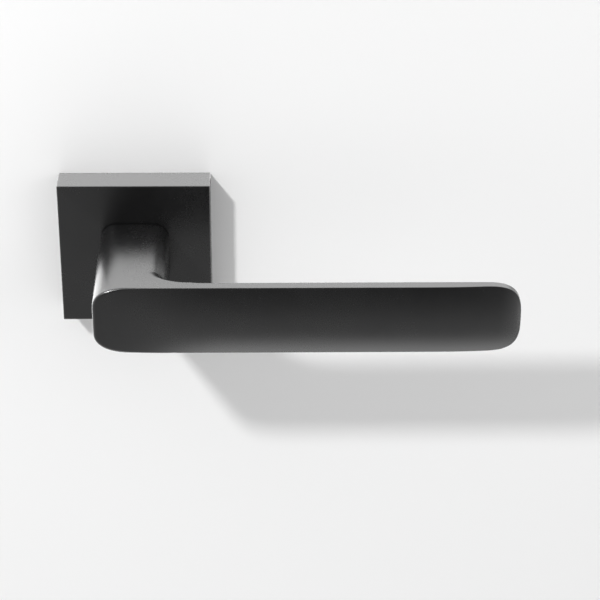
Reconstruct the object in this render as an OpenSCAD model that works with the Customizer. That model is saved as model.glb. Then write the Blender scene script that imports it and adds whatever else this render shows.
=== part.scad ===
// Door lever handle on a square rose: one side of a set, with its return spring and fixings.
// The origin is on the spindle axis at the door face. +X runs along the lever, +Y goes into the
// door and +Z is up. A distance "out" is measured from the door face towards the hand.

/* [Rose] */
// Width and height of the square rose
rose_w = 52; // [50:0.5:64]
// How far the rose stands out from the door
rose_depth = 10.5; // [10.3:0.1:14]
// Thickness of the cover's four side walls
cover_wall = 1.5; // [1.2:0.1:1.6]
// Thickness of the cover's front
cover_front = 1.6; // [1.2:0.1:1.8]
// Rounding of the cover's outer edges
cover_edge_r = 0.4; // [0.2:0.1:0.8]
// Thickness of the base plate
base_t = 2; // [1.6:0.1:2.2]
// Rounding of the base plate's corners
base_corner_r = 2; // [1:0.5:4]

/* [Lever] */
// Length of the blade, from end to end
blade_l = 140; // [110:1:180]
// Height of the blade and of the neck
blade_h = 24.4; // [22:0.2:30]
// Thickness of the blade along its top and bottom edges
blade_edge_t = 3.8; // [3:0.1:6]
// How far the front of the blade bulges past those edges
crown = 2; // [1:0.1:3]
// Distance out from the door of the blade's back
blade_out = 52.8; // [48:0.2:65]
// Width of the neck along the blade
neck_w = 23.4; // [21:0.2:28]
// Rounding of the neck's corners and of the blade's left corners
neck_corner_r = 5.5; // [5:0.5:9]
// Rounding where the neck runs into the back of the blade
neck_fillet_r = 8.5; // [6:0.5:14]
// Rounding of the blade's right corners
tip_corner_r = 5.5; // [4:0.5:8]
// Radius of the bulging right end, seen from the front
tip_bulge_r = 36; // [30:1:60]
// Length over which the front rolls back at the right end
tip_roll_l = 20; // [12:1:30]
// How far the front rolls back at the right end
tip_roll = 2; // [1:0.1:2.5]
// Length over which the front flattens towards the left end
heel_roll_l = 46; // [30:1:60]
// How far the front flattens at the left end
heel_roll = 1.7; // [0.5:0.1:1.8]
// Diameter of the round spigot behind the neck
spigot_d = 16; // [15:0.2:19.2]
// How far the lever turns down
lever_turn = 45; // [30:1:50]

/* [Spindle and set screw] */
// Width across the flats of the square spindle
spindle_w = 8; // [6.6:0.1:9.6]
// How far the spindle reaches into the door
spindle_in_door = 64; // [40:1:90]
// How far out from the door the spindle reaches
spindle_out = 36; // [30:1:44]
// Diameter of the set screw
set_screw_d = 6; // [4:0.5:6]
// Distance out from the door of the set screw
set_screw_out = 23; // [18:0.5:28]

/* [Fixings] */
// Distance between the two fixing screws
fixing_spacing = 38; // [37.6:0.1:38.4]
// Diameter of the fixing screws
fixing_d = 4; // [3.5:0.1:4]
// How far the fixing screws reach into the door
fixing_in_door = 45; // [30:1:70]
// Diameter of the support posts
post_d = 8; // [7:0.1:8]
// How far the support posts reach into the door
post_l = 10; // [6:0.5:15]
// Diameter of the wood screws
wood_screw_d = 3.5; // [3:0.1:4]
// How far the wood screws reach into the door
wood_screw_l = 23; // [15:1:35]

/* [Spring cassette] */
// Wall of the spring housing
housing_wall = 1; // [0.8:0.1:1.2]
// Thickness of the cassette's lid
lid_t = 0.6; // [0.5:0.1:0.8]
// Thickness of the driver's arm
arm_t = 1; // [0.8:0.1:1.2]
// Width of the driver's arm
arm_w = 5; // [4:0.1:6]
// Wall of the driver's hub at the corners of its square hole
hub_wall = 1.3; // [1:0.1:1.6]
// Diameter of the spring's wire
wire_d = 1.1; // [0.9:0.05:1.2]
// Diameter of the stop pins and the spring's anchor
pin_d = 2.6; // [2:0.1:3]

/* [Clearances] */
// Radial running clearance of the spigot and of the driver
run_gap = 0.05; // [0.02:0.01:0.1]
// Clearance round the spindle in its square holes
spindle_gap = 0.05; // [0.02:0.01:0.1]
// Clearance round rivets, pins and screws in their holes
hole_gap = 0.05; // [0.02:0.01:0.15]
// Clearance between pieces that lie near each other
near_gap = 0.1; // [0.05:0.01:0.15]
// Width of the dark line between the neck and the cover
neck_gap = 0.4; // [0.3:0.05:0.8]

/* [Hidden] */
$fn = 96;

// Lever
neck_out = rose_depth + neck_gap;
blade_edge_out = blade_out + blade_edge_t;
blade_front_out = blade_edge_out + crown;
blade_x0 = -neck_w / 2;
blade_x1 = blade_x0 + blade_l;
crown_r = (pow(blade_h / 2, 2) + pow(crown, 2)) / (2 * crown);
tip_roll_r = (pow(tip_roll_l, 2) + pow(tip_roll, 2)) / (2 * tip_roll);
heel_roll_r = (pow(heel_roll_l, 2) + pow(heel_roll, 2)) / (2 * heel_roll);
socket_end_out = spindle_out + 1;

// Rose
cover_in_w = rose_w - 2 * cover_wall;
cover_in_out = rose_depth - cover_front;
base_edge_gap = 0.6;
base_w = cover_in_w - 2 * base_edge_gap;

// Spring cassette, from the door outwards
lid_out = base_t + lid_t;
arm_out = lid_out + near_gap;
arm_top_out = arm_out + arm_t;
housing_out = cover_in_out - near_gap;
housing_in_out = housing_out - housing_wall;
flange_t = 0.7;
flange_out = housing_in_out - flange_t;
spigot_out = flange_out + near_gap;
hub_out = flange_out - near_gap;
coil_out0 = arm_top_out + near_gap;
coil_out1 = flange_out - near_gap;
journal_out = 0.2;

// Spring cassette, from the spindle axis outwards
socket_w = spindle_w + 2 * spindle_gap;
hub_r = socket_w / sqrt(2) + hub_wall;
coil_gap = 0.6;
coil_r = hub_r + coil_gap + wire_d / 2;
coil_edge_r = coil_r + wire_d / 2;
pin_clear = 0.4;
pin_ring_r = coil_edge_r + pin_clear + pin_d / 2;
bush_wall = 1.9;
bush_r = spigot_d / 2 + run_gap + bush_wall;
flange_r = bush_r + 1.5;
housing_in_r = max(pin_ring_r + pin_d / 2 + pin_clear, flange_r + near_gap);
housing_r = housing_in_r + housing_wall;
arm_r = pin_ring_r + pin_d / 4;

// Angles round the spindle, anticlockwise as seen from the front, with 0 along the blade
arm_a = 90 + lever_turn / 2;
stop_offset_a = asin((arm_w / 2 + pin_d / 2 + run_gap) / pin_ring_r);
stop_angles = [arm_a + stop_offset_a, arm_a - lever_turn - stop_offset_a];
anchor_a = -60;

// Upright tab at the end of the arm, which the moving leg of the spring pushes
tab_w = 2.4;
tab_r0 = coil_edge_r + pin_clear;

// Ears and rivets of the housing
ear_r = 3.4;
ear_z = housing_r + 3.2;
rivet_d = 2.5;
rivet_head_d = 4.4;
rivet_head_t = 0.9;

// Cover clips: leaf springs on the base plate's top and bottom edges
clip_t = 0.5;
clip_w = 8;
clip_x = 16;
clip_foot_l = 5.4;
clip_hook_out = 5;
clip_tip_out = 7;
clip_rivet_d = 2;
clip_bite = 0.3;
clip_foot_z = base_w / 2 - clip_foot_l;
groove_depth = clip_bite + near_gap;
groove_h = 2.4;

// Fixings
fixing_hole_d = fixing_d + 0.4;
post_neck_d = fixing_hole_d + 1.4;
fixing_plain_d = fixing_d - 0.5;
fixing_plain_end = post_l + 1;
washer_t = 0.8;
screw_head_d = 7.4;
screw_head_t = 2.4;
wood_head_d = 6.8;
wood_head_t = 2;
wood_tip_l = 5;
wood_screw_x = base_w / 2 - 6.9;
wood_screw_z = 12.5;
recess_l = 4.2;
recess_w = 1;
recess_depth = 1.3;

// Set screw
set_screw_sunk = 0.8;
set_screw_bottom_z = -blade_h / 2 + set_screw_sunk;
set_screw_top_z = -spindle_w / 2 - near_gap / 2;
set_screw_key = set_screw_d / 2;

// Spindle clip
clip_ring_r = 8.5;
clip_ring_t = 0.8;
clip_ring_in_door = 0.2;

black = "#2b2b2d";
steel = "#b9bcc0";
zinc = "#8f9499";
nylon = "#3a3a3c";

// Sliding washer: its outer rim reaches past the hole in the cover
washer_land = 0.95;
washer_r = bush_r + near_gap + washer_land;

// Places its children at a distance out from the door, with their Z pointing outwards.
module outwards(out) {
    translate([0, -out, 0]) rotate([90, 0, 0]) children();
}

// A round bar across the door's plane, from one distance out to another.
module round_bar(r, out0, out1, at = [0, 0]) {
    outwards(out0) translate([at[0], at[1], 0]) cylinder(r = r, h = out1 - out0);
}

// A square bar on the spindle axis, from one distance out to another.
module square_bar(w, out0, out1) {
    outwards(out0) translate([-w / 2, -w / 2, 0]) cube([w, w, out1 - out0]);
}

// A rectangle with rounded corners, centred on the origin.
module rounded_rectangle(w, h, r) {
    square([w - 2 * r, h], center = true);
    square([w, h - 2 * r], center = true);
    for (x = [-1, 1], y = [-1, 1])
        translate([x * (w / 2 - r), y * (h / 2 - r)]) circle(r);
}

// Both places that a mirrored pair of fixings takes on the X axis.
module at_fixings() {
    for (side = [-1, 1])
        translate([side * fixing_spacing / 2, 0, 0]) children();
}

// The two opposite corners that hold the wood screws.
module at_wood_screws() {
    for (side = [-1, 1])
        translate([side * wood_screw_x, 0, side * wood_screw_z]) children();
}

// The four places of the cover clips, with +Z towards the edge that each one serves.
module at_clips() {
    for (side = [-1, 1], turn = [0, 180])
        translate([side * clip_x, 0, 0]) rotate([0, turn, 0]) children();
}

// A cross recess sunk into a screw head, from its top inwards.
module cross_recess(top_out) {
    for (turn = [0, 90])
        outwards(top_out - recess_depth) rotate([0, 0, turn])
            translate([-recess_l / 2, -recess_w / 2, 0]) cube([recess_l, recess_w, 2 * recess_depth]);
}

// ---- Lever ----

// Front view of the blade: soft left corners, and a right end that bulges between two tighter ones.
module blade_outline() {
    half = blade_h / 2;
    left_x = blade_x0 + neck_corner_r;
    bulge_x = blade_x1 - tip_bulge_r;
    corner_z = half - tip_corner_r;
    corner_x = bulge_x + sqrt(pow(tip_bulge_r - tip_corner_r, 2) - pow(corner_z, 2));
    reach = tip_bulge_r / (tip_bulge_r - tip_corner_r);
    touch = [bulge_x + (corner_x - bulge_x) * reach, corner_z * reach];
    translate([left_x, -half]) square([corner_x - left_x, blade_h]);
    translate([blade_x0, -half + neck_corner_r])
        square([neck_corner_r + 1, blade_h - 2 * neck_corner_r]);
    for (side = [-1, 1]) {
        translate([left_x, side * (half - neck_corner_r)]) circle(neck_corner_r);
        translate([corner_x, side * corner_z]) circle(tip_corner_r);
    }
    intersection() {
        translate([bulge_x, 0]) circle(tip_bulge_r);
        polygon([
            [bulge_x, 0], touch, [blade_x1 + 1, touch[1]], [blade_x1 + 1, -touch[1]], [touch[0], -touch[1]],
        ]);
    }
}

// Plan of the blade: its front flattens towards the left end and rolls back at the right end.
module blade_plan() {
    depth = blade_front_out - blade_out;
    heel_x1 = blade_x0 + heel_roll_l;
    tip_x0 = blade_x1 - tip_roll_l;
    translate([heel_x1, blade_out]) square([tip_x0 - heel_x1, depth]);
    intersection() {
        translate([heel_x1, blade_front_out - heel_roll_r]) circle(heel_roll_r, $fn = 360);
        translate([blade_x0, blade_out]) square([heel_roll_l, depth]);
    }
    intersection() {
        translate([tip_x0, blade_front_out - tip_roll_r]) circle(tip_roll_r, $fn = 360);
        translate([tip_x0, blade_out]) square([tip_roll_l, depth]);
    }
}

// The blade: its outline, its plan and the round crown of its front, all at once.
module blade() {
    intersection() {
        outwards(blade_out) linear_extrude(blade_front_out - blade_out) blade_outline();
        translate([0, 0, -blade_h / 2]) linear_extrude(blade_h) mirror([0, 1]) blade_plan();
        translate([blade_x0 - 1, crown_r - blade_front_out, 0]) rotate([0, 90, 0])
            cylinder(r = crown_r, h = blade_l + 2, $fn = 360);
    }
}

// The hollow rounding from the neck's right side into the back of the blade.
module neck_fillet() {
    corner = [neck_w / 2 - neck_corner_r, blade_h / 2 - neck_corner_r];
    far_r = neck_corner_r + neck_fillet_r;
    intersection() {
        outwards(blade_out - neck_fillet_r) linear_extrude(neck_fillet_r) blade_outline();
        union() {
            difference() {
                outwards(blade_out - neck_fillet_r) translate([0, -corner[1], 0])
                    cube([corner[0] + far_r, 2 * corner[1], neck_fillet_r]);
                translate([corner[0] + far_r, neck_fillet_r - blade_out, -blade_h])
                    cylinder(r = neck_fillet_r, h = 2 * blade_h);
            }
            for (side = [-1, 1])
                outwards(blade_out - neck_fillet_r) translate([corner[0], side * corner[1], 0])
                    rotate_extrude() difference() {
                        square([far_r, neck_fillet_r]);
                        translate([far_r, 0]) circle(neck_fillet_r);
                    }
        }
    }
}

module lever_handle() {
    color(black) difference() {
        union() {
            blade();
            neck_fillet();
            outwards(neck_out) linear_extrude(blade_out - neck_out)
                rounded_rectangle(neck_w, blade_h, neck_corner_r);
            round_bar(spigot_d / 2, spigot_out, neck_out);
        }
        square_bar(socket_w, spigot_out - 1, socket_end_out);
        translate([0, -set_screw_out, -blade_h / 2 - 1])
            cylinder(r = set_screw_d / 2 + hole_gap, h = blade_h / 2 + 1);
    }
}

module spindle() {
    color(steel) square_bar(spindle_w, -spindle_in_door, spindle_out);
}

module set_screw() {
    key_depth = 3;
    color(zinc) translate([0, -set_screw_out, set_screw_bottom_z]) difference() {
        cylinder(r = set_screw_d / 2, h = set_screw_top_z - set_screw_bottom_z);
        translate([0, 0, -1]) cylinder(r = set_screw_key / sqrt(3), h = key_depth + 1, $fn = 6);
    }
}

module spindle_clip() {
    color(steel) difference() {
        round_bar(clip_ring_r, -clip_ring_in_door - clip_ring_t, -clip_ring_in_door);
        square_bar(socket_w, -2 * clip_ring_t - clip_ring_in_door, 1);
    }
}

// ---- Spring cassette ----

module driver_disc() {
    color(zinc) difference() {
        union() {
            round_bar(hub_r, journal_out, hub_out);
            outwards(arm_out) rotate([0, 0, arm_a]) translate([0, -arm_w / 2, 0])
                cube([arm_r, arm_w, arm_t]);
            outwards(arm_out) rotate([0, 0, arm_a]) translate([tab_r0, -tab_w / 2, 0])
                cube([arm_r - tab_r0, tab_w, coil_out1 - arm_out]);
        }
        square_bar(socket_w, -1, hub_out + 1);
    }
}

// The spring's wire runs in along its fixed leg, clockwise round the hub and out along the leg that
// the arm carries. Each leg lies beside its pin or tab, and a bend joins it to the coil.
bend_r = wire_d;
fixed_side = pin_d / 2 + wire_d / 2 + near_gap;
moving_side = tab_w / 2 + wire_d / 2 + near_gap;
leg_far = sqrt(pow(housing_in_r - near_gap - wire_d, 2) - pow(fixed_side, 2));
bend_steps = 5;
coil_steps = 44;
wire_sides = 8;

// Distance along its own direction at which a leg, a side step away from the axis, meets its bend.
function bend_along(side) = sqrt(pow(coil_r + bend_r, 2) - pow(side - bend_r, 2));

// Angle, seen from the axis, between a leg's direction and the place where its bend meets the coil.
function bend_angle(side) = atan((side - bend_r) / bend_along(side));

// A point of a leg's bend, at a share of the way from the coil to the leg.
function bend_point(side, share) =
    let (a = (1 - share) * (180 + bend_angle(side)) + share * 90)
    [bend_along(side) + bend_r * cos(a), side - bend_r + bend_r * sin(a)];

// A point given along a direction and to one side of it, in the plane of the door.
function turned(point, a, hand) = [
    point[0] * cos(a) - hand * point[1] * sin(a),
    point[0] * sin(a) + hand * point[1] * cos(a),
];

coil_from_a = anchor_a + bend_angle(fixed_side);
coil_to_a = arm_a - bend_angle(moving_side) - 360 - 360;
coil_low = coil_out0 + wire_d / 2;
coil_high = coil_out1 - wire_d / 2;

wire_path = concat(
    [for (along = [leg_far, bend_along(fixed_side) + bend_r / 2])
        concat(turned([along, fixed_side], anchor_a, 1), coil_low)],
    [for (i = [bend_steps:-1:1])
        concat(turned(bend_point(fixed_side, i / bend_steps), anchor_a, 1), coil_low)],
    [for (i = [0:coil_steps]) let (
        share = i / coil_steps,
        a = coil_from_a + (coil_to_a - coil_from_a) * share
    ) [coil_r * cos(a), coil_r * sin(a), coil_low + (coil_high - coil_low) * share]],
    [for (i = [1:bend_steps])
        concat(turned(bend_point(moving_side, i / bend_steps), arm_a, -1), coil_high)],
    [for (along = [bend_along(moving_side) + bend_r / 2, leg_far])
        concat(turned([along, moving_side], arm_a, -1), coil_high)]
);

// The ring of points round one point of the wire, square to its direction.
function wire_ring(path, i) =
    let (
        before = path[max(i - 1, 0)],
        after = path[min(i + 1, len(path) - 1)],
        along = (after - before) / norm(after - before),
        across = cross(along, [0, 0, 1]) / norm(cross(along, [0, 0, 1])),
        up = cross(across, along)
    )
    [for (k = [0:wire_sides - 1]) let (a = 360 * k / wire_sides)
        path[i] + wire_d / 2 * (across * cos(a) + up * sin(a))];

module return_spring() {
    rings = len(wire_path);
    last = (rings - 1) * wire_sides;
    color(steel) outwards(0) polyhedron(
        points = [for (i = [0:rings - 1]) each wire_ring(wire_path, i)],
        faces = concat(
            [[for (k = [wire_sides - 1:-1:0]) k]],
            [[for (k = [0:wire_sides - 1]) last + k]],
            [for (i = [0:rings - 2], k = [0:wire_sides - 1]) let (
                here = i * wire_sides,
                next = (k + 1) % wire_sides
            ) [here + k, here + next, here + wire_sides + next, here + wire_sides + k]]
        ),
        convexity = 6
    );
}

module spring_housing() {
    color(zinc) difference() {
        union() {
            round_bar(housing_r, base_t, housing_out);
            for (side = [-1, 1]) {
                round_bar(ear_r, base_t, base_t + housing_wall, [0, side * ear_z]);
                outwards(base_t) translate([-ear_r, side > 0 ? 0 : -ear_z, 0])
                    cube([2 * ear_r, ear_z, housing_wall]);
            }
        }
        round_bar(housing_in_r, base_t - 1, housing_in_out);
        round_bar(bush_r + run_gap, base_t, housing_out + 1);
        for (side = [-1, 1])
            round_bar(rivet_d / 2 + hole_gap, base_t - 1, housing_out, [0, side * ear_z]);
    }
}

module spring_cover() {
    color(steel) difference() {
        round_bar(housing_in_r - near_gap, base_t, lid_out);
        round_bar(hub_r + 2 * run_gap, 0, lid_out + 1);
        for (a = concat(stop_angles, anchor_a))
            round_bar(pin_d / 2 + hole_gap, 0, lid_out + 1, pin_ring_r * [cos(a), sin(a)]);
    }
}

module housing_rivets() {
    ear_top_out = base_t + housing_wall;
    color(steel) for (side = [-1, 1]) {
        round_bar(rivet_d / 2, 0, ear_top_out, [0, side * ear_z]);
        round_bar(rivet_head_d / 2, ear_top_out, ear_top_out + rivet_head_t, [0, side * ear_z]);
    }
}

module stop_pins() {
    color(steel) for (a = stop_angles)
        round_bar(pin_d / 2, 0, arm_top_out, pin_ring_r * [cos(a), sin(a)]);
}

module spring_anchor() {
    color(steel) round_bar(pin_d / 2, 0, coil_out1, pin_ring_r * [cos(anchor_a), sin(anchor_a)]);
}

module bearing_bush() {
    color(nylon) difference() {
        union() {
            round_bar(bush_r, flange_out, rose_depth - near_gap);
            round_bar(flange_r, flange_out, housing_in_out);
        }
        round_bar(spigot_d / 2 + run_gap, flange_out - 1, rose_depth + 1);
    }
}

// ---- Rose ----

module sliding_washer() {
    color(nylon) difference() {
        round_bar(washer_r, rose_depth, neck_out - run_gap);
        round_bar(spigot_d / 2 + 2 * run_gap, rose_depth - 1, neck_out + 1);
    }
}

module rose_cover() {
    color(black) difference() {
        intersection() {
            outwards(0) linear_extrude(rose_depth)
                rounded_rectangle(rose_w, rose_w, cover_edge_r);
            translate([-rose_w / 2, 0, 0]) rotate([0, 90, 0]) linear_extrude(rose_w)
                rounded_rectangle(rose_w, 2 * rose_depth, cover_edge_r);
            translate([0, 0, -rose_w / 2]) linear_extrude(rose_w)
                rounded_rectangle(rose_w, 2 * rose_depth, cover_edge_r);
        }
        outwards(-1) translate([-cover_in_w / 2, -cover_in_w / 2, 0])
            cube([cover_in_w, cover_in_w, cover_in_out + 1]);
        round_bar(bush_r + near_gap, 0, rose_depth + 1);
        at_clips() outwards(clip_hook_out - groove_h / 2)
            translate([-clip_w / 2 - near_gap, 0, 0])
                cube([clip_w + 2 * near_gap, cover_in_w / 2 + groove_depth, groove_h]);
    }
}

module base_plate() {
    color(steel) difference() {
        outwards(0) linear_extrude(base_t) rounded_rectangle(base_w, base_w, base_corner_r);
        round_bar(hub_r + run_gap, -1, base_t + 1);
        at_fixings() round_bar(post_neck_d / 2 + hole_gap, -1, base_t + 1);
        at_wood_screws() round_bar(wood_screw_d / 2 + hole_gap, -1, base_t + 1);
        at_clips()
            round_bar(clip_rivet_d / 2 + hole_gap, -1, base_t + 1, [0, clip_foot_z + clip_rivet_d]);
        for (side = [-1, 1])
            round_bar(rivet_d / 2 + hole_gap, -1, base_t + 1, [0, side * ear_z]);
        for (a = concat(stop_angles, anchor_a))
            round_bar(pin_d / 2 + hole_gap, -1, base_t + 1, pin_ring_r * [cos(a), sin(a)]);
    }
}

// One clip, seen from its side: a foot on the base plate, and a leaf that leans out to the hook.
module clip_profile() {
    edge_z = base_w / 2 - near_gap;
    hook_z = cover_in_w / 2 + clip_bite;
    polygon([
        [clip_foot_z, base_t], [edge_z, base_t], [hook_z, clip_hook_out], [edge_z, clip_tip_out],
        [edge_z - clip_t, clip_tip_out], [hook_z - 2 * clip_t, clip_hook_out],
        [edge_z - clip_t, base_t + clip_t], [clip_foot_z, base_t + clip_t],
    ]);
}

module cover_clips() {
    color(steel) difference() {
        at_clips() translate([-clip_w / 2, 0, 0]) rotate([90, 0, 90])
            linear_extrude(clip_w) rotate([0, 0, 90]) clip_profile();
        at_clips()
            round_bar(clip_rivet_d / 2 + hole_gap, base_t - 1, base_t + 1, [0, clip_foot_z + clip_rivet_d]);
    }
}

module clip_rivets() {
    clip_top_out = base_t + clip_t;
    head_t = 0.6;
    color(steel) at_clips() {
        round_bar(clip_rivet_d / 2, 0, clip_top_out, [0, clip_foot_z + clip_rivet_d]);
        round_bar(clip_rivet_d * 0.8, clip_top_out, clip_top_out + head_t, [0, clip_foot_z + clip_rivet_d]);
    }
}

// ---- Fixings ----

module support_posts() {
    color(zinc) at_fixings() difference() {
        union() {
            round_bar(post_d / 2, -post_l, 0);
            round_bar(post_neck_d / 2, -1, base_t);
        }
        round_bar(fixing_hole_d / 2, -post_l - 1, base_t + 1);
    }
}

module screw_washers() {
    color(steel) at_fixings() difference() {
        round_bar(post_d / 2, base_t, base_t + washer_t);
        round_bar(fixing_d / 2 + 2 * hole_gap, base_t - 1, base_t + washer_t + 1);
    }
}

module fixing_screws() {
    head_out = base_t + washer_t;
    color(steel) at_fixings() difference() {
        union() {
            round_bar(fixing_plain_d / 2, -fixing_plain_end - 1, head_out);
            round_bar(fixing_d / 2, -fixing_in_door, -fixing_plain_end);
            round_bar(screw_head_d / 2, head_out, head_out + screw_head_t);
        }
        cross_recess(head_out + screw_head_t);
    }
}

module wood_screws() {
    color(zinc) at_wood_screws() difference() {
        union() {
            round_bar(wood_screw_d / 2, wood_tip_l - wood_screw_l, base_t);
            round_bar(wood_head_d / 2, base_t, base_t + wood_head_t);
            outwards(-wood_screw_l) cylinder(r1 = 0.2, r2 = wood_screw_d / 2, h = wood_tip_l);
        }
        cross_recess(base_t + wood_head_t);
    }
}

lever_handle();
spindle();
set_screw();
spindle_clip();
driver_disc();
return_spring();
sliding_washer();
rose_cover();
bearing_bush();
base_plate();
cover_clips();
clip_rivets();
spring_housing();
spring_cover();
housing_rivets();
stop_pins();
spring_anchor();
support_posts();
fixing_screws();
screw_washers();
wood_screws();
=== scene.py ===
# %% [markdown]
# # A door lever handle on a square rose
#
# The handle is a satin black lever on a square cover plate. Behind the cover sit a base plate, a
# spring cassette and the fixings, and a square spindle runs back into the door.
#
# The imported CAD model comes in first. It fixes every size, place and joint, so each piece that is
# made below takes its measures from the CAD node that it stands for.

# %% Load the frame
import math
import bmesh
import bpy
from mathutils import Matrix, Vector


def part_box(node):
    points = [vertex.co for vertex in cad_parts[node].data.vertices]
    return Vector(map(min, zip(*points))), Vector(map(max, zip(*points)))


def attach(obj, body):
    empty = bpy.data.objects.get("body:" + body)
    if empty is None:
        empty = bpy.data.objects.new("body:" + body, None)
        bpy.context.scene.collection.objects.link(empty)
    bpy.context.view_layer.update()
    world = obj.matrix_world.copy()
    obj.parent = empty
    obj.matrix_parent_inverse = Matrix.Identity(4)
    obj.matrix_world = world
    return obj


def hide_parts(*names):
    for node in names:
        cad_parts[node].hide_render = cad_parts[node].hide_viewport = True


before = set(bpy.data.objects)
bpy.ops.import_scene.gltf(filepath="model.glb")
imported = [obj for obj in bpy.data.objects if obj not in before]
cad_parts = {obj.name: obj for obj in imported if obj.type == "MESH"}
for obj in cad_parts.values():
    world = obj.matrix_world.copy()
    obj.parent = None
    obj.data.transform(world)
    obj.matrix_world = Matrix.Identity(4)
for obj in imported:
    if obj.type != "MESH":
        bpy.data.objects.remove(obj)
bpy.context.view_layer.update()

MM = 0.001

# %% [markdown]
# ## The camera
#
# A handle is catalogued with a long lens, from above and almost square on, so that its edges stay
# parallel. The camera is placed first because everything else is judged through it. Its three axes
# are worked out from how far it turns sideways, looks down and rolls, and then they are written
# straight into its matrix.

# %% Camera
LENS_MM = 128.94
CAMERA_AT = Vector((45.3, -663.6, 351.8)) * MM
TURN, DOWN, ROLL = (math.radians(a) for a in (1.009, 29.546, 0.28))


def look_matrix(place, turn, down, roll):
    """A camera matrix from its place and from three angles: to the right, down, and clockwise."""
    ahead = Vector((math.sin(turn) * math.cos(down), math.cos(turn) * math.cos(down), -math.sin(down)))
    right = Vector((math.cos(turn), -math.sin(turn), 0))
    up = right.cross(ahead)
    rolled_right = math.cos(roll) * right + math.sin(roll) * up
    rolled_up = math.cos(roll) * up - math.sin(roll) * right
    axes = Matrix((rolled_right, rolled_up, -ahead)).transposed()
    return Matrix.Translation(place) @ axes.to_4x4()


camera = bpy.data.objects.new("camera", bpy.data.cameras.new("camera"))
camera.data.lens = LENS_MM
camera.data.clip_start, camera.data.clip_end = 0.05, 20
camera.matrix_world = look_matrix(CAMERA_AT, TURN, DOWN, ROLL)
bpy.context.scene.collection.objects.link(camera)
bpy.context.scene.camera = camera
print("camera stands", round(CAMERA_AT.length, 3), "m from the spindle")

# %% [markdown]
# ## Shader maths as Python
#
# A procedural finish is mostly arithmetic on noise. Blender does arithmetic with Math nodes, which
# are slow to read as a list of links. So a small class wraps a node's output and overloads the
# operators: `1 - mask * 0.5` then adds the Math nodes by itself. One more method adds any other
# node from its type, its settings and what goes into its sockets.

# %% Shader helper
class Value:
    """A socket that can be added to, subtracted from and multiplied, as a number can."""

    def __init__(self, finish, socket):
        self.finish, self.socket = finish, socket

    def maths(self, operation, first, second):
        return self.finish.node("ShaderNodeMath", {"operation": operation}, {0: first, 1: second})

    def __add__(self, other):
        return self.maths("ADD", self, other)

    def __mul__(self, other):
        return self.maths("MULTIPLY", self, other)

    def __sub__(self, other):
        return self.maths("SUBTRACT", self, other)

    def __rsub__(self, other):
        return self.maths("SUBTRACT", other, self)

    def __pow__(self, other):
        return self.maths("POWER", self, other)

    __radd__, __rmul__ = __add__, __mul__


class Finish:
    """A node material with one Principled shader, which the cells below dress."""

    def __init__(self, name):
        self.material = bpy.data.materials.new(name)
        self.material.use_nodes = True
        self.tree = self.material.node_tree
        self.tree.nodes.clear()
        self.shader = self.tree.nodes.new("ShaderNodeBsdfPrincipled")
        out = self.tree.nodes.new("ShaderNodeOutputMaterial")
        self.tree.links.new(self.shader.outputs[0], out.inputs[0])
        self.place = self.node("ShaderNodeTexCoord", output="Object")

    def node(self, kind, settings={}, inputs={}, output=0):
        made = self.tree.nodes.new(kind)
        for name, value in settings.items():
            if name == "stops":
                self.set_stops(made.color_ramp, value)
            else:
                setattr(made, name, value)
        for key, value in inputs.items():
            self.feed(made.inputs[key], value)
        return Value(self, made.outputs[output])

    def set_stops(self, ramp, stops):
        while len(ramp.elements) < len(stops):
            ramp.elements.new(1)
        for element, (place, grey) in zip(ramp.elements, stops):
            element.position = place
            element.color = (grey, grey, grey, 1)

    def feed(self, socket, value):
        if isinstance(value, Value):
            self.tree.links.new(value.socket, socket)
        else:
            socket.default_value = value

    def set(self, **sockets):
        """Feeds the shader's own sockets, named with underscores for spaces."""
        for name, value in sockets.items():
            self.feed(self.shader.inputs[name.replace("_", " ")], value)
        return self

    def noise(self, scale, detail=2.0, roughness=0.5, place=None):
        return self.node("ShaderNodeTexNoise", {},
                         {"Vector": place or self.place, "Scale": scale, "Detail": detail,
                          "Roughness": roughness})

    def spread(self, value, low, high, to_low=0.0, to_high=1.0):
        """Maps a range of values onto another, and holds it at both ends."""
        return self.node("ShaderNodeMapRange", {"clamp": True},
                         {"Value": value, "From Min": low, "From Max": high, "To Min": to_low,
                          "To Max": to_high})

    def tint(self, share, dark, light):
        return self.node("ShaderNodeMix", {"data_type": "RGBA"},
                         {0: share, 6: (*dark, 1), 7: (*light, 1)}, output=2)

    def bump(self, height, distance, strength=1.0):
        return self.node("ShaderNodeBump", {},
                         {"Height": height, "Distance": distance, "Strength": strength})


# %% [markdown]
# ## Satin black
#
# The lever and the cover carry one coat: a fine black powder, baked hard, with a soft sheen. Light
# that grazes it comes back brightly, and light that meets it head on is nearly lost, so the coat
# needs a high refractive index over an almost black base. Powder melts into a skin with a fine
# orange-peel ripple. Two sizes of noise give that ripple, and slower noise varies the sheen the way
# handling does.

# %% Satin black finish
BLACK_DARK, BLACK_LIGHT = (0.004, 0.004, 0.0042), (0.0065, 0.0065, 0.0067)
COAT_IOR = 1.7


def satin_black(name):
    finish = Finish(name)
    peel = finish.noise(1400, 2.0) * 0.7 + finish.noise(4200, 1.0) * 0.3
    handled = finish.noise(38, 3.0, 0.6)
    return finish.set(
        Base_Color=finish.tint(finish.spread(handled, 0.35, 0.65), BLACK_DARK, BLACK_LIGHT),
        Roughness=finish.spread(handled, 0.3, 0.7, 0.24, 0.29) + (peel - 0.5) * 0.06,
        Normal=finish.bump(peel, 0.004 * MM, 0.35),
        IOR=COAT_IOR,
    ).material


black = satin_black("satin_black")
print("finish:", black.name)

# %% [markdown]
# ## Metals and nylon
#
# The hidden parts are plain hardware. The base plate, the screws and the washers are steel with
# bright zinc plating, which is faintly blue and clouded in patches the size of a fingertip. The
# driver and the posts are raw die castings: duller, with fine pits. The clips and the spring are
# spring steel, a darker grey with long rolling lines. The bearing parts are moulded in dark nylon.

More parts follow.
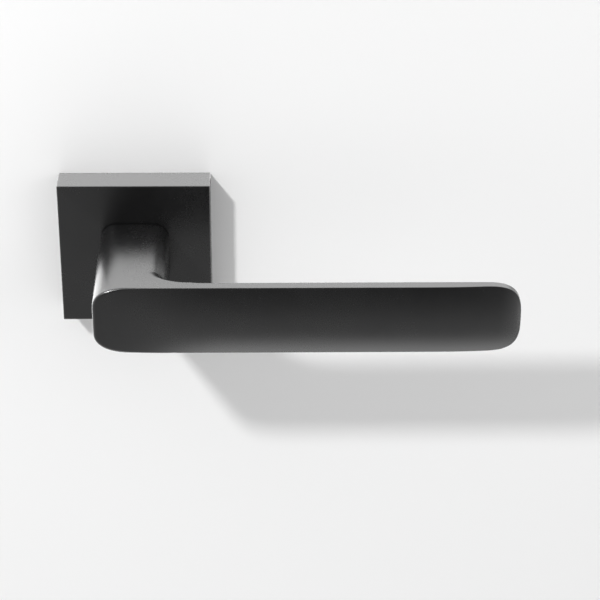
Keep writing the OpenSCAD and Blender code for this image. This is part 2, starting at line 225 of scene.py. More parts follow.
# %% Metal and nylon finishes
def plated(name, dark, light, rough, cloud_scale, pit_depth):
    """A metal whose colour and roughness cloud over, with fine pits."""
    finish = Finish(name)
    cloud = finish.spread(finish.noise(cloud_scale, 4.0, 0.6), 0.3, 0.7)
    grain = finish.noise(cloud_scale * 14, 3.0, 0.6)
    return finish.set(
        Base_Color=finish.tint(cloud, dark, light),
        Metallic=1.0,
        Roughness=finish.spread(cloud * 0.7 + grain * 0.3, 0, 1, rough + 0.08, rough - 0.06),
        Normal=finish.bump(grain, pit_depth * MM, 0.5),
    ).material


def rolled_steel(name):
    """Spring steel: fine lines along the strip over a cloudy grey."""
    finish = Finish(name)
    lines = finish.node("ShaderNodeMapping", {}, {"Vector": finish.place, "Scale": (300, 6000, 6000)})
    line = finish.noise(1.0, 2.0, 0.5, lines)
    cloud = finish.spread(finish.noise(160, 3.0), 0.3, 0.7)
    return finish.set(
        Base_Color=finish.tint(cloud, (0.3, 0.3, 0.31), (0.43, 0.42, 0.41)),
        Metallic=1.0,
        Roughness=finish.spread(line, 0.2, 0.8, 0.26, 0.42),
        Normal=finish.bump(line, 0.003 * MM, 0.5),
    ).material


def moulded_nylon(name):
    finish = Finish(name)
    grain = finish.noise(900, 3.0)
    cloud = finish.spread(finish.noise(120, 2.0), 0.3, 0.7)
    return finish.set(
        Base_Color=finish.tint(cloud, (0.028, 0.028, 0.03), (0.042, 0.042, 0.045)),
        Roughness=finish.spread(grain, 0.25, 0.75, 0.42, 0.56),
        Normal=finish.bump(grain, 0.006 * MM, 0.6),
    ).material


zinc = plated("zinc_plate", (0.5, 0.53, 0.57), (0.66, 0.69, 0.72), 0.3, 140, 0.003)
cast = plated("cast_zinc", (0.36, 0.37, 0.38), (0.48, 0.49, 0.5), 0.46, 200, 0.012)
spring_steel = rolled_steel("spring_steel")
nylon = moulded_nylon("nylon")

FINISH_OF = {
    "lever_handle": black, "rose_cover": black, "spindle": zinc, "set_screw": zinc,
    "spindle_clip": spring_steel, "driver_disc": cast, "return_spring": spring_steel,
    "sliding_washer": nylon, "bearing_bush": nylon, "base_plate": zinc,
    "cover_clips": spring_steel, "clip_rivets": zinc, "spring_housing": zinc,
    "spring_cover": zinc, "housing_rivets": zinc, "stop_pins": zinc, "spring_anchor": zinc,
    "support_posts": cast, "fixing_screws": zinc, "screw_washers": zinc, "wood_screws": zinc,
}
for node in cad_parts.values():
    node.data.materials.clear()
    node.data.materials.append(FINISH_OF[node.name])
print("finishes:", len(set(FINISH_OF.values())), "for", len(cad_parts), "nodes")

# %% [markdown]
# ## Pieces from bent sheets
#
# Most shapes here are smooth skins. Each starts as a flat grid from `create_grid`, whose two
# coordinates run from 0 to 1. A function then says where each point of the sheet goes, as if the
# sheet were bent into shape. Where two edges of the sheet meet, merging the doubles closes it.

# %% Mesh helpers
WELD = 0.0005 * MM
SHARP = math.radians(35)


def bent_sheet(bm, across, along, place):
    """Adds a grid whose points, given as (0 to 1, 0 to 1), are moved to place(u, v)."""
    made = bmesh.ops.create_grid(bm, x_segments=across, y_segments=along, size=1)
    for v in made["verts"]:
        v.co = place((v.co.x + 1) / 2, (v.co.y + 1) / 2)
    return made["verts"]


def as_piece(bm, name, material, body, replaces=(), edge=0.0):
    """Closes a bmesh, points its faces outwards and hands it over as a riding piece."""
    bmesh.ops.remove_doubles(bm, verts=bm.verts, dist=WELD)
    bmesh.ops.dissolve_degenerate(bm, edges=bm.edges, dist=WELD)
    bmesh.ops.recalc_face_normals(bm, faces=bm.faces)
    mesh = bpy.data.meshes.new(name)
    bm.to_mesh(mesh)
    bm.free()
    piece = bpy.data.objects.new(name, mesh)
    bpy.context.scene.collection.objects.link(piece)
    dress(piece, material, edge)
    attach(piece, body)
    if replaces:
        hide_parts(*replaces)
    return piece


def dress(piece, material, edge):
    """Gives a piece its finish, broken edges of a width in mm where it has any, and even shading."""
    piece.data.materials.append(material)
    piece.data.shade_smooth()
    piece.data.set_sharp_from_angle(angle=SHARP)
    if edge:
        broken = piece.modifiers.new("broken edges", "BEVEL")
        broken.width, broken.segments, broken.profile = edge * MM, 2, 0.5
        broken.limit_method, broken.angle_limit = "ANGLE", SHARP
    even = piece.modifiers.new("even normals", "WEIGHTED_NORMAL")
    even.weight, even.keep_sharp = 100, True


def size_of(piece):
    return [round(d / MM, 2) for d in piece.dimensions], len(piece.data.polygons), "faces"


# %% [markdown]
# ## The lever's measures
#
# The lever is one casting: a straight neck, a blade that runs off its front end, and a hollow
# rounding that joins them. The neck and blade share their top, their bottom and their left end. All
# sizes come from the CAD node's box. The rest are a maker's choices: how round each corner is, and
# how the front rolls back towards the tip.

# %% Lever measures
low, high = (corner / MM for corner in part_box("lever_handle"))
LEFT, TIP, HALF = low.x, high.x, high.z
FRONT = -low.y
CROWN = 2.0
CREASE = FRONT - CROWN
BACK = 52.8
FOOT = -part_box("rose_cover")[0].y / MM + 0.4
CROWN_R = (HALF ** 2 + CROWN ** 2) / (2 * CROWN)
NECK = -LEFT
NECK_CORNER = 5.5
FOOT_HALF = HALF - 0.4
FILLET_ALONG, FILLET_OUT = 10.0, 8.0
EDGE_R = 0.5
print("lever, mm: left", round(LEFT, 2), "tip", round(TIP, 2), "half height", round(HALF, 2),
      "front", round(FRONT, 2))


def smooth(t):
    """0 to 1 with a soft start and end."""
    t = min(max(t, 0.0), 1.0)
    return t * t * (3 - 2 * t)


def blend(a, b, t):
    return a + (b - a) * t


def oval_corner(t, width, height, squareness):
    """A point of a quarter oval, t from 0 at its side to 1 at its top, as shares of its box."""
    a = t * math.pi / 2
    c, s = math.cos(a), math.sin(a)
    reach = ((c / width) ** squareness + (s / height) ** squareness) ** (-1 / squareness)
    return reach * c, reach * s


# %% [markdown]
# ## The blade's outline
#
# Seen from the front the blade is a long soft rectangle. Its left end has broad oval corners. Its
# right end bulges a little between tighter corners. The outline is drawn as a list of stretches, so
# that the same point numbers can be followed back along the neck: a stretch that is a corner on the
# blade stays a corner on the neck, and the whole right end shrinks onto the neck's right side.

# %% Outline stretches
SIDE, CORNER, FLAT, ROOT, TURN_IN, REST = 5, 16, 4, 16, 10, 40
HALF_COUNT = SIDE + CORNER + FLAT + ROOT + TURN_IN + REST
FLAT_END = 2.5
ROOT_END = 20.9
TURN_IN_END = 44.0
LEFT_OVAL = (12.0, 7.5, 2.3)
TIP_OVAL = (14.0, HALF, 3.4)
TIP_OVAL_SHARE = 26


def stretch(i):
    """Which stretch a point of the half outline belongs to, and how far along it the point lies."""
    for name, count in (("side", SIDE), ("corner", CORNER), ("flat", FLAT), ("root", ROOT),
                        ("turn_in", TURN_IN), ("rest", REST)):
        if i <= count:
            return name, i / count
        i -= count
    return "rest", 1.0


def blade_point(i):
    """The front view of the blade at half-outline point i, as (x, z)."""
    name, t = stretch(i)
    width, height, squareness = LEFT_OVAL
    if name == "side":
        return LEFT, t * (HALF - height)
    if name == "corner":
        along, up = oval_corner(t, width, height, squareness)
        return LEFT + width - along, HALF - height + up
    if name == "flat":
        return blend(LEFT + width, FLAT_END, t), HALF
    if name == "root":
        return blend(FLAT_END, ROOT_END, t), HALF
    if name == "turn_in":
        return blend(ROOT_END, TURN_IN_END, t), HALF
    width, height, squareness = TIP_OVAL
    straight = REST - TIP_OVAL_SHARE
    if t * REST <= straight:
        return blend(TURN_IN_END, TIP - width, t * REST / straight), HALF
    t = (t * REST - straight) / TIP_OVAL_SHARE
    along, up = oval_corner(1 - t, width, height, squareness)
    return TIP - width + along, up


def neck_half(out):
    """Half the neck's height, which narrows a little as it nears the cover."""
    t = (out - FOOT) / (BACK - FOOT)
    return blend(FOOT_HALF, HALF, math.sin(math.pi / 2 * min(max(t * 1.8, 0.0), 1.0)))


def neck_point(i, out):
    """The neck's section at a distance out from the door, at half-outline point i."""
    name, t = stretch(i)
    half = neck_half(out)
    rise = min(max((out - (BACK - FILLET_OUT)) / FILLET_OUT, 0.0), 1.0)
    right = NECK + FILLET_ALONG * (1 - math.sqrt(1 - rise ** 2))
    corner = EDGE_R + (NECK_CORNER - EDGE_R) * (1 - rise) ** 0.4
    if name == "side":
        return LEFT, t * (half - NECK_CORNER)
    if name == "corner":
        along, up = oval_corner(t, NECK_CORNER, NECK_CORNER, 2)
        return LEFT + NECK_CORNER - along, half - NECK_CORNER + up
    if name == "flat":
        return blend(LEFT + NECK_CORNER, FLAT_END, t), half
    if name == "root":
        return blend(FLAT_END, right - corner, t), half
    if name == "turn_in":
        along, up = oval_corner(1 - t, corner, corner, 2)
        return right - corner + along, half - corner + up
    return right, (1 - t) * (half - corner)


print("outline:", 2 * HALF_COUNT, "points")

# %% [markdown]
# ## The blade's front
#
# The front face is a shallow arch across the blade, and it rolls back towards the tip, slowly at
# first and then in a tight curve. The edge between that face and the blade's rim is crisp along the
# top, and it opens into a softer rounding at the left end, where the light catches it.

# %% Front face
ROLL_FROM, ROLL_SLOW, ROLL_LAST, ROLL_TIGHT = 100.0, 1.5, 7.5, 1.6
HEEL_L, HEEL_CROWN = 46.0, 0.15
CREASE_R, SOFT_CREASE_R = 0.2, 0.9


def front_out(x, z):
    """How far the front face stands out from the door at a place."""
    arch = CROWN_R - math.sqrt(CROWN_R ** 2 - min(z * z, HALF ** 2))
    share = blend(HEEL_CROWN, 1, smooth((x - LEFT) / HEEL_L))
    slow = max((x - ROLL_FROM) / (TIP - ROLL_FROM), 0.0)
    last = min(max((x - (TIP - ROLL_LAST)) / ROLL_LAST, 0.0), 0.995)
    roll = ROLL_SLOW * slow ** 2 + ROLL_TIGHT * (1 - math.sqrt(1 - last ** 2))
    return CREASE + (CROWN - arch) * share - roll


def crease_radius(x):
    return blend(SOFT_CREASE_R, CREASE_R, smooth((x + 6) / 16))


def inward(i):
    """The direction across the outline, from the rim into the face, at half-outline point i."""
    before, after = blade_point(max(i - 1, 0)), blade_point(min(i + 1, HALF_COUNT))
    if i == 0:
        return 1.0, 0.0
    if i == HALF_COUNT:
        return -1.0, 0.0
    dx, dz = after[0] - before[0], after[1] - before[1]
    length = math.hypot(dx, dz)
    return dz / length, -dx / length


# %% [markdown]
# ## The lever as one sheet
#
# One sheet makes the whole casting. Across, it follows the outline once round. Along, it starts on
# a line down the middle of the front face, runs out to the edge, round it, back over the rim,
# across the back of the blade, down the hollow rounding and the neck, and ends round the spigot and
# up the square socket. Each step is a ring, and each ring is a rule, which keeps the shading smooth
# because no face crosses an edge.

# %% Lever sheet
SPINE = (LEFT + 7, TIP - 10)
SPIGOT_R, SPIGOT_END = 8.0, -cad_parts["lever_handle"].bound_box[3][1] / MM
SOCKET_HALF, SOCKET_END = 4.05, 37.0
FACE_RINGS, CREASE_RINGS, BACK_RINGS, FILLET_RINGS, NECK_RINGS = 16, 5, 4, 16, 12


def face_ring(t):
    def place(i):
        x, z = blade_point(i)
        r = crease_radius(x)
        dx, dz = inward(i)
        x, z = x + dx * r, z + dz * r
        middle = min(max(x, SPINE[0]), SPINE[1])
        x, z = blend(middle, x, t), z * t
        return x, front_out(x, z), z
    return place


def crease_ring(t):
    def place(i):
        x, z = blade_point(i)
        r = crease_radius(x)
        dx, dz = inward(i)
        a = t * math.pi / 2
        inset = r * (1 - math.sin(a))
        return x + dx * inset, front_out(x + dx * r, z + dz * r) - r * (1 - math.cos(a)), z + dz * inset
    return place


def mixed_point(i, out):
    """The rim's outline in front of the blade's back, easing into the neck's at the left end."""
    x, z = blade_point(i)
    name = stretch(i)[0]
    if name in ("side", "corner", "flat"):
        nx, nz = neck_point(i, out)
        t = (CREASE - out) / (CREASE - FOOT)
        return blend(x, nx, t), blend(z, nz, t) if out <= BACK else z
    return x, z


def back_ring(t):
    def place(i):
        x, z = mixed_point(i, BACK)
        dx, dz = inward(i)
        r = EDGE_R * smooth((x - ROOT_END) / 7) if stretch(i)[0] in ("turn_in", "rest") else 0.0
        a = t * math.pi / 2
        inset = r * (1 - math.cos(a))
        return x + dx * inset, BACK + EDGE_R * (1 - math.sin(a)), z + dz * inset
    return place


def neck_ring(out):
    def place(i):
        x, z = neck_point(i, out)
        if stretch(i)[0] in ("side", "corner", "flat"):
            bx, bz = blade_point(i)
            t = (CREASE - out) / (CREASE - FOOT)
            x, z = blend(bx, x, t), blend(bz, z, t)
        return x, out, z
    return place


def foot_ring(inset, out):
    def place(i):
        x, _, z = neck_ring(FOOT)(i)
        shrink = 1 - inset / NECK
        return x * shrink, out, z * shrink
    return place


def round_ring(r, out):
    def place(i):
        x, _, z = neck_ring(FOOT)(i)
        length = math.hypot(x, z)
        return x / length * r, out, z / length * r
    return place


def square_ring(half, out):
    def place(i):
        x, _, z = neck_ring(FOOT)(i)
        reach = half / max(abs(x), abs(z))
        return x * reach, out, z * reach
    return place


FOOT_CHAMFER = 0.25
rings = [face_ring(k / FACE_RINGS) for k in range(FACE_RINGS + 1)]
rings += [crease_ring(k / CREASE_RINGS) for k in range(1, CREASE_RINGS + 1)]
rings += [back_ring(k / BACK_RINGS) for k in range(BACK_RINGS + 1)]
rings += [neck_ring(BACK - FILLET_OUT * (1 - math.sin(math.pi / 2 * (1 - k / FILLET_RINGS))))
          for k in range(FILLET_RINGS + 1)]
rings += [neck_ring(blend(BACK - FILLET_OUT, FOOT + FOOT_CHAMFER, k / NECK_RINGS))
          for k in range(1, NECK_RINGS + 1)]
rings += [foot_ring(FOOT_CHAMFER, FOOT), round_ring(SPIGOT_R, FOOT), round_ring(SPIGOT_R, SPIGOT_END)]
rings += [square_ring(SOCKET_HALF, SPIGOT_END), square_ring(SOCKET_HALF, SOCKET_END)]
rings += [square_ring(0.0, SOCKET_END)]


def lever_place(u, v):
    ring = rings[round(v * (len(rings) - 1))]
    i = round(u * 2 * HALF_COUNT)
    mirrored = i > HALF_COUNT
    x, out, z = ring(2 * HALF_COUNT - i if mirrored else i)
    return Vector((x, -out, -z if mirrored else z)) * MM


def loop_from(bm, edges):
    """Extrudes a loop of edges, and returns the new loop's points and edges."""
    made = bmesh.ops.extrude_edge_only(bm, edges=edges)["geom"]
    points = {g for g in made if isinstance(g, bmesh.types.BMVert)}
    return points, [g for g in made if isinstance(g, bmesh.types.BMEdge) and points.issuperset(g.verts)]


SCREW_OUT, SCREW_R = 23.0, 3.0
PATCH_OUT, PATCH_X = (16.6, 27.2), NECK - NECK_CORNER


def add_screw_hole(bm):
    """Cuts away a patch of the neck's flat underside, and draws its rim in to a round hole."""
    patch = []
    for f in bm.faces:
        middle = f.calc_center_median() / MM
        if middle.z < 0.2 - FOOT_HALF and abs(middle.x) < PATCH_X and PATCH_OUT[0] < -middle.y < PATCH_OUT[1]:
            patch.append(f)
    edges = list({e for f in patch for e in f.edges})
    bmesh.ops.delete(bm, geom=patch, context="FACES")
    rim = [e for e in edges if e.is_valid]
    for longer_than, cuts in ((4, 8), (1, 2)):
        split = bmesh.ops.subdivide_edges(
            bm, edges=[e for e in rim if e.calc_length() > longer_than * MM], cuts=cuts)
        rim = list({e for e in rim if e.is_valid} |
                   {g for g in split["geom_split"] if isinstance(g, bmesh.types.BMEdge)})
    middle = Vector((0, -SCREW_OUT, -neck_half(SCREW_OUT))) * MM
    points, rim = loop_from(bm, [e for e in rim if e.is_boundary])
    for v in points:
        away = v.co - middle
        away.z = 0
        v.co = middle + away.normalized() * (SCREW_R + 0.02) * MM
    points, rim = loop_from(bm, rim)
    for v in points:
        v.co.z = -(SOCKET_HALF + 0.02) * MM
    bmesh.ops.edgeloop_fill(bm, edges=rim)


def lever_bm():
    bm = bmesh.new()
    bent_sheet(bm, 2 * HALF_COUNT, len(rings) - 1, lever_place)
    add_screw_hole(bm)
    return bm


lever = as_piece(lever_bm(), "lever", black, "lever", ["lever_handle"])
print("lever:", size_of(lever))

# %% [markdown]
# ## The cover
#
# The cover is a square shell with crisp edges that are just broken, so that a thin line of light
# runs along them. A cube is bevelled along its front edges, its back is inset and pushed in to
# leave the walls, and a round hole is cut for the bearing.

# %% Cover
COVER_WALL, COVER_FRONT, COVER_EDGE = 1.5, 1.6, 0.4


HOLE_R, HOLE_SIDES = 10.05, 96
GROOVE_X, GROOVE_HALF, GROOVE_OUT, GROOVE_DEPTH = 16.0, 4.1, (3.8, 6.2), 0.4


def facing(bm, x, y, z):
    """The largest face that looks one way."""
    bm.normal_update()
    way = Vector((x, y, z))
    return max((f for f in bm.faces if f.normal.dot(way) > 0.99), key=lambda f: f.calc_area())


def open_round(bm, face):
    """Joins a square face's rim to a circle round the spindle, and returns the circle's edges."""
    y = face.calc_center_median().y
    rim = list(face.edges)
    bmesh.ops.delete(bm, geom=[face], context="FACES_ONLY")
    bmesh.ops.subdivide_edges(bm, edges=rim, cuts=HOLE_SIDES // 4 - 1)
    rim = [e for e in bm.edges if e.is_boundary]
    flat = Matrix.Translation((0, y, 0)) @ Matrix.Rotation(math.pi / 2, 4, "X")
    made = bmesh.ops.create_circle(bm, segments=HOLE_SIDES, radius=HOLE_R * MM, matrix=flat)
    circle = list({e for v in made["verts"] for e in v.link_edges})
    bmesh.ops.bridge_loops(bm, edges=rim + circle)
    return circle


def add_grooves(bm, side):
    """Presses two shallow grooves into the inside of the top or the bottom wall."""
    inner = [f for f in bm.faces if f.normal.z * side < -0.99 and f.calc_center_median().z * side > 0]
    parts = [max(inner, key=lambda f: f.calc_area())]
    planes = [((x * GROOVE_X + s * GROOVE_HALF, 0, 0), (1, 0, 0)) for x in (-1, 1) for s in (-1, 1)]
    planes += [((0, -out, 0), (0, 1, 0)) for out in GROOVE_OUT]
    for place, way in planes:
        rims = list({g for f in parts for g in (*f.edges, *f.verts)})
        made = bmesh.ops.bisect_plane(bm, geom=parts + rims, plane_co=Vector(place) * MM, plane_no=way)
        parts = [g for g in made["geom"] if isinstance(g, bmesh.types.BMFace)]
    for f in parts:
        middle = f.calc_center_median() / MM
        if abs(abs(middle.x) - GROOVE_X) < GROOVE_HALF and GROOVE_OUT[0] < -middle.y < GROOVE_OUT[1]:
            bmesh.ops.inset_region(bm, faces=[f], thickness=0, depth=-GROOVE_DEPTH * MM)


def cover_bm():
    low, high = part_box("rose_cover")
    size, middle = high - low, (low + high) / 2
    bm = bmesh.new()
    bmesh.ops.create_cube(bm, size=1, matrix=Matrix.Translation(middle) @ Matrix.Diagonal((*size, 1)))
    rim = [e for e in bm.edges if not all(v.co.y > high.y - WELD for v in e.verts)]
    bmesh.ops.bevel(bm, geom=rim, offset=COVER_EDGE * MM, segments=4, profile=0.5, material=-1,
                    affect="EDGES", clamp_overlap=True)
    back = [facing(bm, 0, 1, 0)]
    bmesh.ops.inset_region(bm, faces=back, thickness=COVER_WALL * MM, use_even_offset=True)
    for v in back[0].verts:
        v.co.x = math.copysign(high.x - COVER_WALL * MM, v.co.x)
        v.co.z = math.copysign(high.z - COVER_WALL * MM, v.co.z)
    bmesh.ops.remove_doubles(bm, verts=back[0].verts, dist=WELD)
    back = [facing(bm, 0, 1, 0)]
    bmesh.ops.inset_region(bm, faces=back, thickness=0, depth=COVER_FRONT * MM - size.y)
    bm.normal_update()
    for side in (-1, 1):
        add_grooves(bm, side)
    circles = open_round(bm, back[0]) + open_round(bm, facing(bm, 0, -1, 0))
    bmesh.ops.bridge_loops(bm, edges=circles)
    return bm


cover = as_piece(cover_bm(), "cover", black, "rose", ["rose_cover"])
print("cover:", size_of(cover))

# %% [markdown]
# ## Screws
#
# A screw is a stack of rings round its axis: plain ones for the shank and the head, and one drawn
# as a cross or as a hexagon where the driver goes in. A thread is a skin too, but its rings climb
# by one pitch in each turn. A ring's end then lies on the start of the ring one turn further up,
# and merging the doubles closes the helix. At both ends the rings are held level, so that the thread
# runs out into the shank.

# %% Turned and threaded skins
SIDES = 48
OUTWARDS = Matrix.Rotation(math.pi / 2, 4, "X")


def turned(bm, stack):
    """Skins a stack of rings round Z. A ring is (radius, or radius at an angle; height), in mm."""
    def place(u, v):
        radius, height = stack[round(v * (len(stack) - 1))]
        a = 2 * math.pi * u
        r = radius(a) if callable(radius) else radius
        return Vector((r * math.cos(a), r * math.sin(a), height)) * MM
    bent_sheet(bm, SIDES, len(stack) - 1, place)


def hexagon(across):
    return lambda a: across / 2 / math.cos(a % (math.pi / 3) - math.pi / 6)


def cross(reach, half_width):
    def radius(a):
        c, s = (max(abs(f(a)), 1e-9) for f in (math.cos, math.sin))
        return max(min(reach / c, half_width / s), min(half_width / c, reach / s))
    return radius


def threaded(bm, low, high, pitch, plain, root, crest, size=lambda height: 1.0):
    """A thread round Z from one height to another. Its radii may be scaled by height."""
    shape = ((0.0, root), (0.38, crest), (0.5, crest), (0.88, root))
    turns = math.ceil((high - low) / pitch) + 1

    def place(u, v):
        k = round(v * len(shape) * turns)
        share, radius = shape[k % len(shape)]
        height = min(max(low + pitch * (k // len(shape) + share - 1 + u), low), high)
        fade = min((height - low) / pitch, (high - height) / pitch, 1.0)
        r = blend(plain, radius, fade) * size(height)
        a = 2 * math.pi * u
        return Vector((r * math.cos(a), r * math.sin(a), height)) * MM
    bent_sheet(bm, SIDES, len(shape) * turns, place)


def pan_head(r, low, high, reach):
    """Rings of a rounded head that stands on low and has a cross in its top."""
    soft = 0.55 * (high - low)
    arc = [(r - soft + soft * math.cos(a), high - soft + soft * math.sin(a))
           for a in (k * math.pi / 12 for k in range(7))]
    arms, depth = 0.268 * reach, 1.3
    return [(r - 0.1, low), (r, low + 0.1), *arc, (cross(reach, arms), high),
            (cross(reach * 0.7, arms * 0.8), high - depth), (0, high - depth)]


def copies(bm, places):
    """Copies a screw made about the Z axis to each (x, z) place, pointing out of the door."""
    first = list(bm.verts) + list(bm.edges) + list(bm.faces)
    sets = [first] + [bmesh.ops.duplicate(bm, geom=first)["geom"] for _ in places[1:]]
    for geom, (x, z) in zip(sets, places):
        verts = [g for g in geom if isinstance(g, bmesh.types.BMVert)]
        bmesh.ops.transform(bm, verts=verts, matrix=Matrix.Translation(Vector((x, 0, z)) * MM) @ OUTWARDS)
    return bm


# %% Fixing screws, wood screws and set screw
FIXING_X, FIXING_END, FIXING_PLAIN_END, WASHER_OUT = 19.0, 45.0, 11.0, 2.8


def fixing_screws_bm():
    bm = bmesh.new()
    turned(bm, [(0, -FIXING_END), (1.4, -FIXING_END), (1.62, 0.4 - FIXING_END)])
    threaded(bm, 0.4 - FIXING_END, -FIXING_PLAIN_END, 0.7, 1.62, 1.62, 2.0)
    turned(bm, [(1.62, -FIXING_PLAIN_END), (1.75, 0.2 - FIXING_PLAIN_END), (1.75, WASHER_OUT),
                *pan_head(3.7, WASHER_OUT, 5.2, 2.1)])
    return copies(bm, [(-FIXING_X, 0), (FIXING_X, 0)])


WOOD_AT, WOOD_TIP, WOOD_CONE, WOOD_PLAIN_END = (17.0, 12.5), 23.0, 18.0, 2.0


def wood_size(height):
    """The wood screw's thickness as a share: full, and tapering to a point over its last stretch."""
    return min(max((height + WOOD_TIP) / (WOOD_TIP - WOOD_CONE), 0.1), 1.0)


def wood_screws_bm():
    bm = bmesh.new()
    tip = 1.1 * wood_size(-WOOD_TIP)
    turned(bm, [(0, -WOOD_TIP), (tip, -WOOD_TIP)])
    threaded(bm, -WOOD_TIP, -WOOD_PLAIN_END, 1.4, 1.1, 1.1, 1.75, wood_size)
    turned(bm, [(1.1, -WOOD_PLAIN_END), (1.6, 0.5 - WOOD_PLAIN_END), (1.6, 2.0),
                *pan_head(3.4, 2.0, 4.0, 1.9)])
    return copies(bm, [WOOD_AT, tuple(-c for c in WOOD_AT)])


SCREW_LOW, SCREW_HIGH, KEY_ACROSS, KEY_DEPTH = -11.4, -4.05, 3.0, 3.0


def set_screw_bm():
    bm = bmesh.new()
    key = hexagon(KEY_ACROSS)
    turned(bm, [(0, SCREW_LOW + KEY_DEPTH), (key, SCREW_LOW + KEY_DEPTH), (key, SCREW_LOW), (2.1, SCREW_LOW),
                (2.5, SCREW_LOW + 0.4)])
    threaded(bm, SCREW_LOW + 0.4, SCREW_HIGH - 0.8, 1.0, 2.5, 2.5, SCREW_R)
    turned(bm, [(2.5, SCREW_HIGH - 0.8), (1.7, SCREW_HIGH), (1.3, SCREW_HIGH), (0, SCREW_HIGH - 0.6)])
    bmesh.ops.translate(bm, verts=bm.verts, vec=Vector((0, -SCREW_OUT, 0)) * MM)
    return bm


fixing_screws = as_piece(fixing_screws_bm(), "through_screws", zinc, "rose",
                         ["fixing_screws"])
wood_screws = as_piece(wood_screws_bm(), "door_screws", zinc, "rose", ["wood_screws"])
set_screw = as_piece(set_screw_bm(), "grub_screw", zinc, "lever", ["set_screw"])
for piece in (fixing_screws, wood_screws, set_screw):
    print(piece.name, size_of(piece))

# %% [markdown]
# ## Spindle
#
# The spindle is a drawn square bar, cut to length. Its long edges are slightly rounded from the
# drawing, and its ends are chamfered so that it finds its way through the latch. A cube scaled to
# the CAD node's box is bevelled twice.

# %% Spindle
def long_way(edge):
    way = (edge.verts[1].co - edge.verts[0].co).normalized()
    return abs(way.y) > 0.99


def spindle_bm():
    low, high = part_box("spindle")
    bm = bmesh.new()
    bmesh.ops.create_cube(bm, size=1, matrix=Matrix.Translation((low + high) / 2)
                          @ Matrix.Diagonal((*(high - low), 1)))
    for wanted, offset, segments in ((True, 0.35, 3), (False, 0.9, 1)):
        edges = [e for e in bm.edges if long_way(e) == wanted]
        bmesh.ops.bevel(bm, geom=edges, offset=offset * MM, segments=segments, profile=0.5, material=-1,
                        affect="EDGES", clamp_overlap=True)
    return bm


spindle = as_piece(spindle_bm(), "square_bar", zinc, "lever", ["spindle"])
print("spindle:", size_of(spindle))

# %% [markdown]
# ## Stamped and cast parts
#
# The plate, the posts and the spring cassette have the right shape already, but their edges are
# mathematically sharp. Stamping rolls an edge over and casting never fills a corner, so each of
# them is a copy of its CAD mesh, merged, with its edges broken by a bevel of a tenth of a
# millimetre or two. The bevel is a modifier that only takes edges which turn by a wide angle.

# %% Broken edges
def broken_copy(node, name, body, edge):
    bm = bmesh.new()
    bm.from_mesh(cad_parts[node].data)
    bmesh.ops.remove_doubles(bm, verts=bm.verts, dist=WELD)
    return as_piece(bm, name, FINISH_OF[node], body, [node], edge)


for node, name, body, slot, edge in (
        ("base_plate", "plate", "rose", "zinc_plate", 0.15),
        ("support_posts", "posts", "rose", "cast_zinc", 0.2),
        ("screw_washers", "washers", "rose", "zinc_plate", 0.1),
        ("spring_housing", "cassette_cup", "rose", "zinc_plate", 0.1),
        ("spring_cover", "cassette_lid", "rose", "zinc_plate", 0.08),
        ("spindle_clip", "retaining_ring", "lever", "spring_steel", 0.08)):
    piece = broken_copy(node, name, body, edge)
    print(piece.name, size_of(piece))

# %% [markdown]
# ## Stage
#
# The handle hangs on a plain white door. The door is a stage, not a piece. Seen from behind it lets
# the camera through, so that the fixings can be looked at. It stands a hair in front of the plate's
# back, because two faces in one plane would fight over which of them is seen.

# %% Door face
DOOR_AHEAD = 0.05 * MM


def stage_door():
    finish = Finish("door_white")
    finish.set(Base_Color=(0.86, 0.86, 0.86, 1), Roughness=0.75)
    behind = finish.node("ShaderNodeNewGeometry", output="Backfacing")
    clear = finish.node("ShaderNodeBsdfTransparent")
    mixed = finish.node("ShaderNodeMixShader", {}, {0: behind, 2: clear})
    finish.tree.links.new(finish.shader.outputs[0], mixed.socket.node.inputs[1])
    out = next(n for n in finish.tree.nodes if n.type == "OUTPUT_MATERIAL")
    finish.tree.links.new(mixed.socket, out.inputs[0])
    bm = bmesh.new()
    bmesh.ops.create_grid(bm, x_segments=1, y_segments=1, size=1.6,
                          matrix=Matrix.Translation((0, -DOOR_AHEAD, 0)) @ OUTWARDS)
    mesh = bpy.data.meshes.new("door")
    bm.to_mesh(mesh)
    bm.free()
    door = bpy.data.objects.new("door", mesh)
    door.data.materials.append(finish.material)
    bpy.context.scene.collection.objects.link(door)
    return door


door = stage_door()

# %% [markdown]
# ## Light
#
# One soft lamp stands high on the left and throws the long shadow. A large weak one on the right
# opens that shadow a little, and shows in no reflection. A satin black part is mostly seen by what
# it mirrors, so the rest of the light is for reflections: two sheets that lie on the door above and
# beside the handle, which its top and left side mirror, and a world that is dark in front, where
# the flat front faces look, and brighter below it and at the sides, where the rounded edges look.
# Two more lamps behind the door light the fixings for views from the back.

# %% Lights
KEY_FROM = Vector((-0.474, -0.579, 0.646)).normalized()
KEY_AWAY, KEY_POWER = 1.5, 6.7


def lamp(name, place, target, size, power, shape="DISK", size_y=None):
    data = bpy.data.lights.new(name, "AREA")
    data.shape, data.size, data.energy = shape, size, power
    if size_y:
        data.shape, data.size_y = "RECTANGLE", size_y
    made = bpy.data.objects.new(name, data)
    made.location = place
    made.rotation_mode = "QUATERNION"
    made.rotation_quaternion = (Vector(target) - Vector(place)).to_track_quat("-Z", "Y")
    made.visible_camera = False
    bpy.context.scene.collection.objects.link(made)
    return made


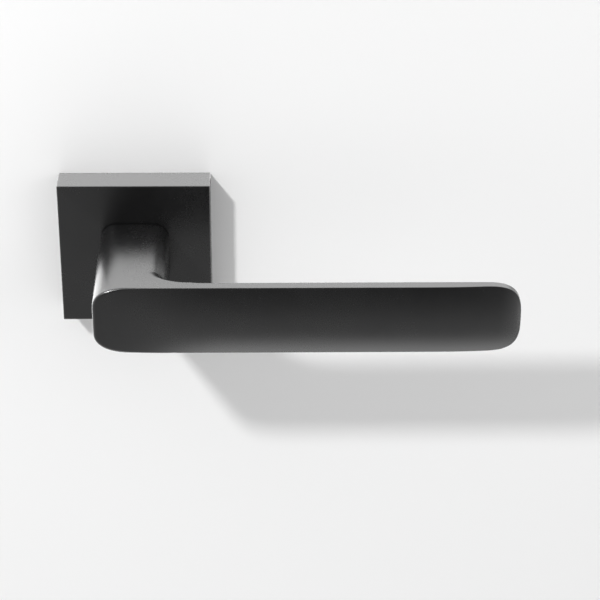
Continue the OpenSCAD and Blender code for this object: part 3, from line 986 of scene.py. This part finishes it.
key = lamp("key", KEY_FROM * KEY_AWAY + Vector((0.04, 0, 0)), (0.04, 0, 0), 0.08 * KEY_AWAY,
           KEY_POWER * KEY_AWAY ** 2)
fill = lamp("fill", (2.0, -1.5, 0.9), (0.04, 0, 0), 1.2, 5)
fill.visible_glossy = False
glow = lamp("glow", (0.04, -0.0002, 0.374), (0.04, -1, 0.374), 0.9, 4.0, size_y=0.7)
side_glow = lamp("side glow", (-0.23, -0.0002, -0.03), (-0.23, -1, -0.03), 0.4, 0.35, size_y=0.1)
for strip in (glow, side_glow):
    strip.visible_diffuse = False
for name, place in (("back left", (-0.7, 1.2, 0.9)), ("back right", (1.0, 1.1, 0.4))):
    lamp(name, place, (0, 0, 0), 0.8, 14)


def world_light():
    """Dark in front of the handle, brighter under it and to the sides."""
    world = bpy.data.worlds.new("studio")
    world.use_nodes = True
    bpy.context.scene.world = world
    tree = world.node_tree
    tree.nodes.clear()
    direction = tree.nodes.new("ShaderNodeTexCoord")
    split = tree.nodes.new("ShaderNodeSeparateXYZ")
    tree.links.new(direction.outputs["Generated"], split.inputs[0])

    def profile(axis, stops):
        spread = tree.nodes.new("ShaderNodeMapRange")
        spread.inputs["From Min"].default_value = -1
        tree.links.new(split.outputs[axis], spread.inputs["Value"])
        ramp = tree.nodes.new("ShaderNodeValToRGB").color_ramp
        tree.links.new(spread.outputs[0], tree.nodes[-1].inputs[0])
        while len(ramp.elements) < len(stops):
            ramp.elements.new(1)
        for element, (place, grey) in zip(ramp.elements, stops):
            element.position = place
            element.color = (grey, grey, grey, 1)
        return tree.nodes[-1].outputs[0]

    upright = profile("Z", [(0.0, 2.4), (0.05, 2.0), (0.082, 1.4), (0.118, 0.8), (0.14, 0.54), (0.17, 0.44),
                            (0.25, 0.45), (0.37, 0.26), (0.47, 0.15), (0.56, 0.06), (0.8, 0.1),
                            (0.9, 1.0), (1.0, 1.2)])
    sides = profile("X", [(0.0, 1.2), (0.125, 0.5), (0.25, 0.25), (0.35, 0.1), (0.45, 0.0), (0.55, 0.0),
                          (0.65, 0.1), (0.75, 0.3), (0.875, 0.6), (1.0, 1.5)])
    total = tree.nodes.new("ShaderNodeMath")
    tree.links.new(upright, total.inputs[0])
    tree.links.new(sides, total.inputs[1])
    back = tree.nodes.new("ShaderNodeBackground")
    out = tree.nodes.new("ShaderNodeOutputWorld")
    tree.links.new(total.outputs[0], back.inputs[0])
    backdrop = tree.nodes.new("ShaderNodeBackground")
    backdrop.inputs[0].default_value = (0.8, 0.8, 0.8, 1)
    seen = tree.nodes.new("ShaderNodeLightPath")
    either = tree.nodes.new("ShaderNodeMixShader")
    for socket, end in ((seen.outputs["Is Camera Ray"], 0), (back.outputs[0], 1), (backdrop.outputs[0], 2)):
        tree.links.new(socket, either.inputs[end])
    tree.links.new(either.outputs[0], out.inputs[0])


world_light()
bpy.context.scene.view_settings.view_transform = "Standard"
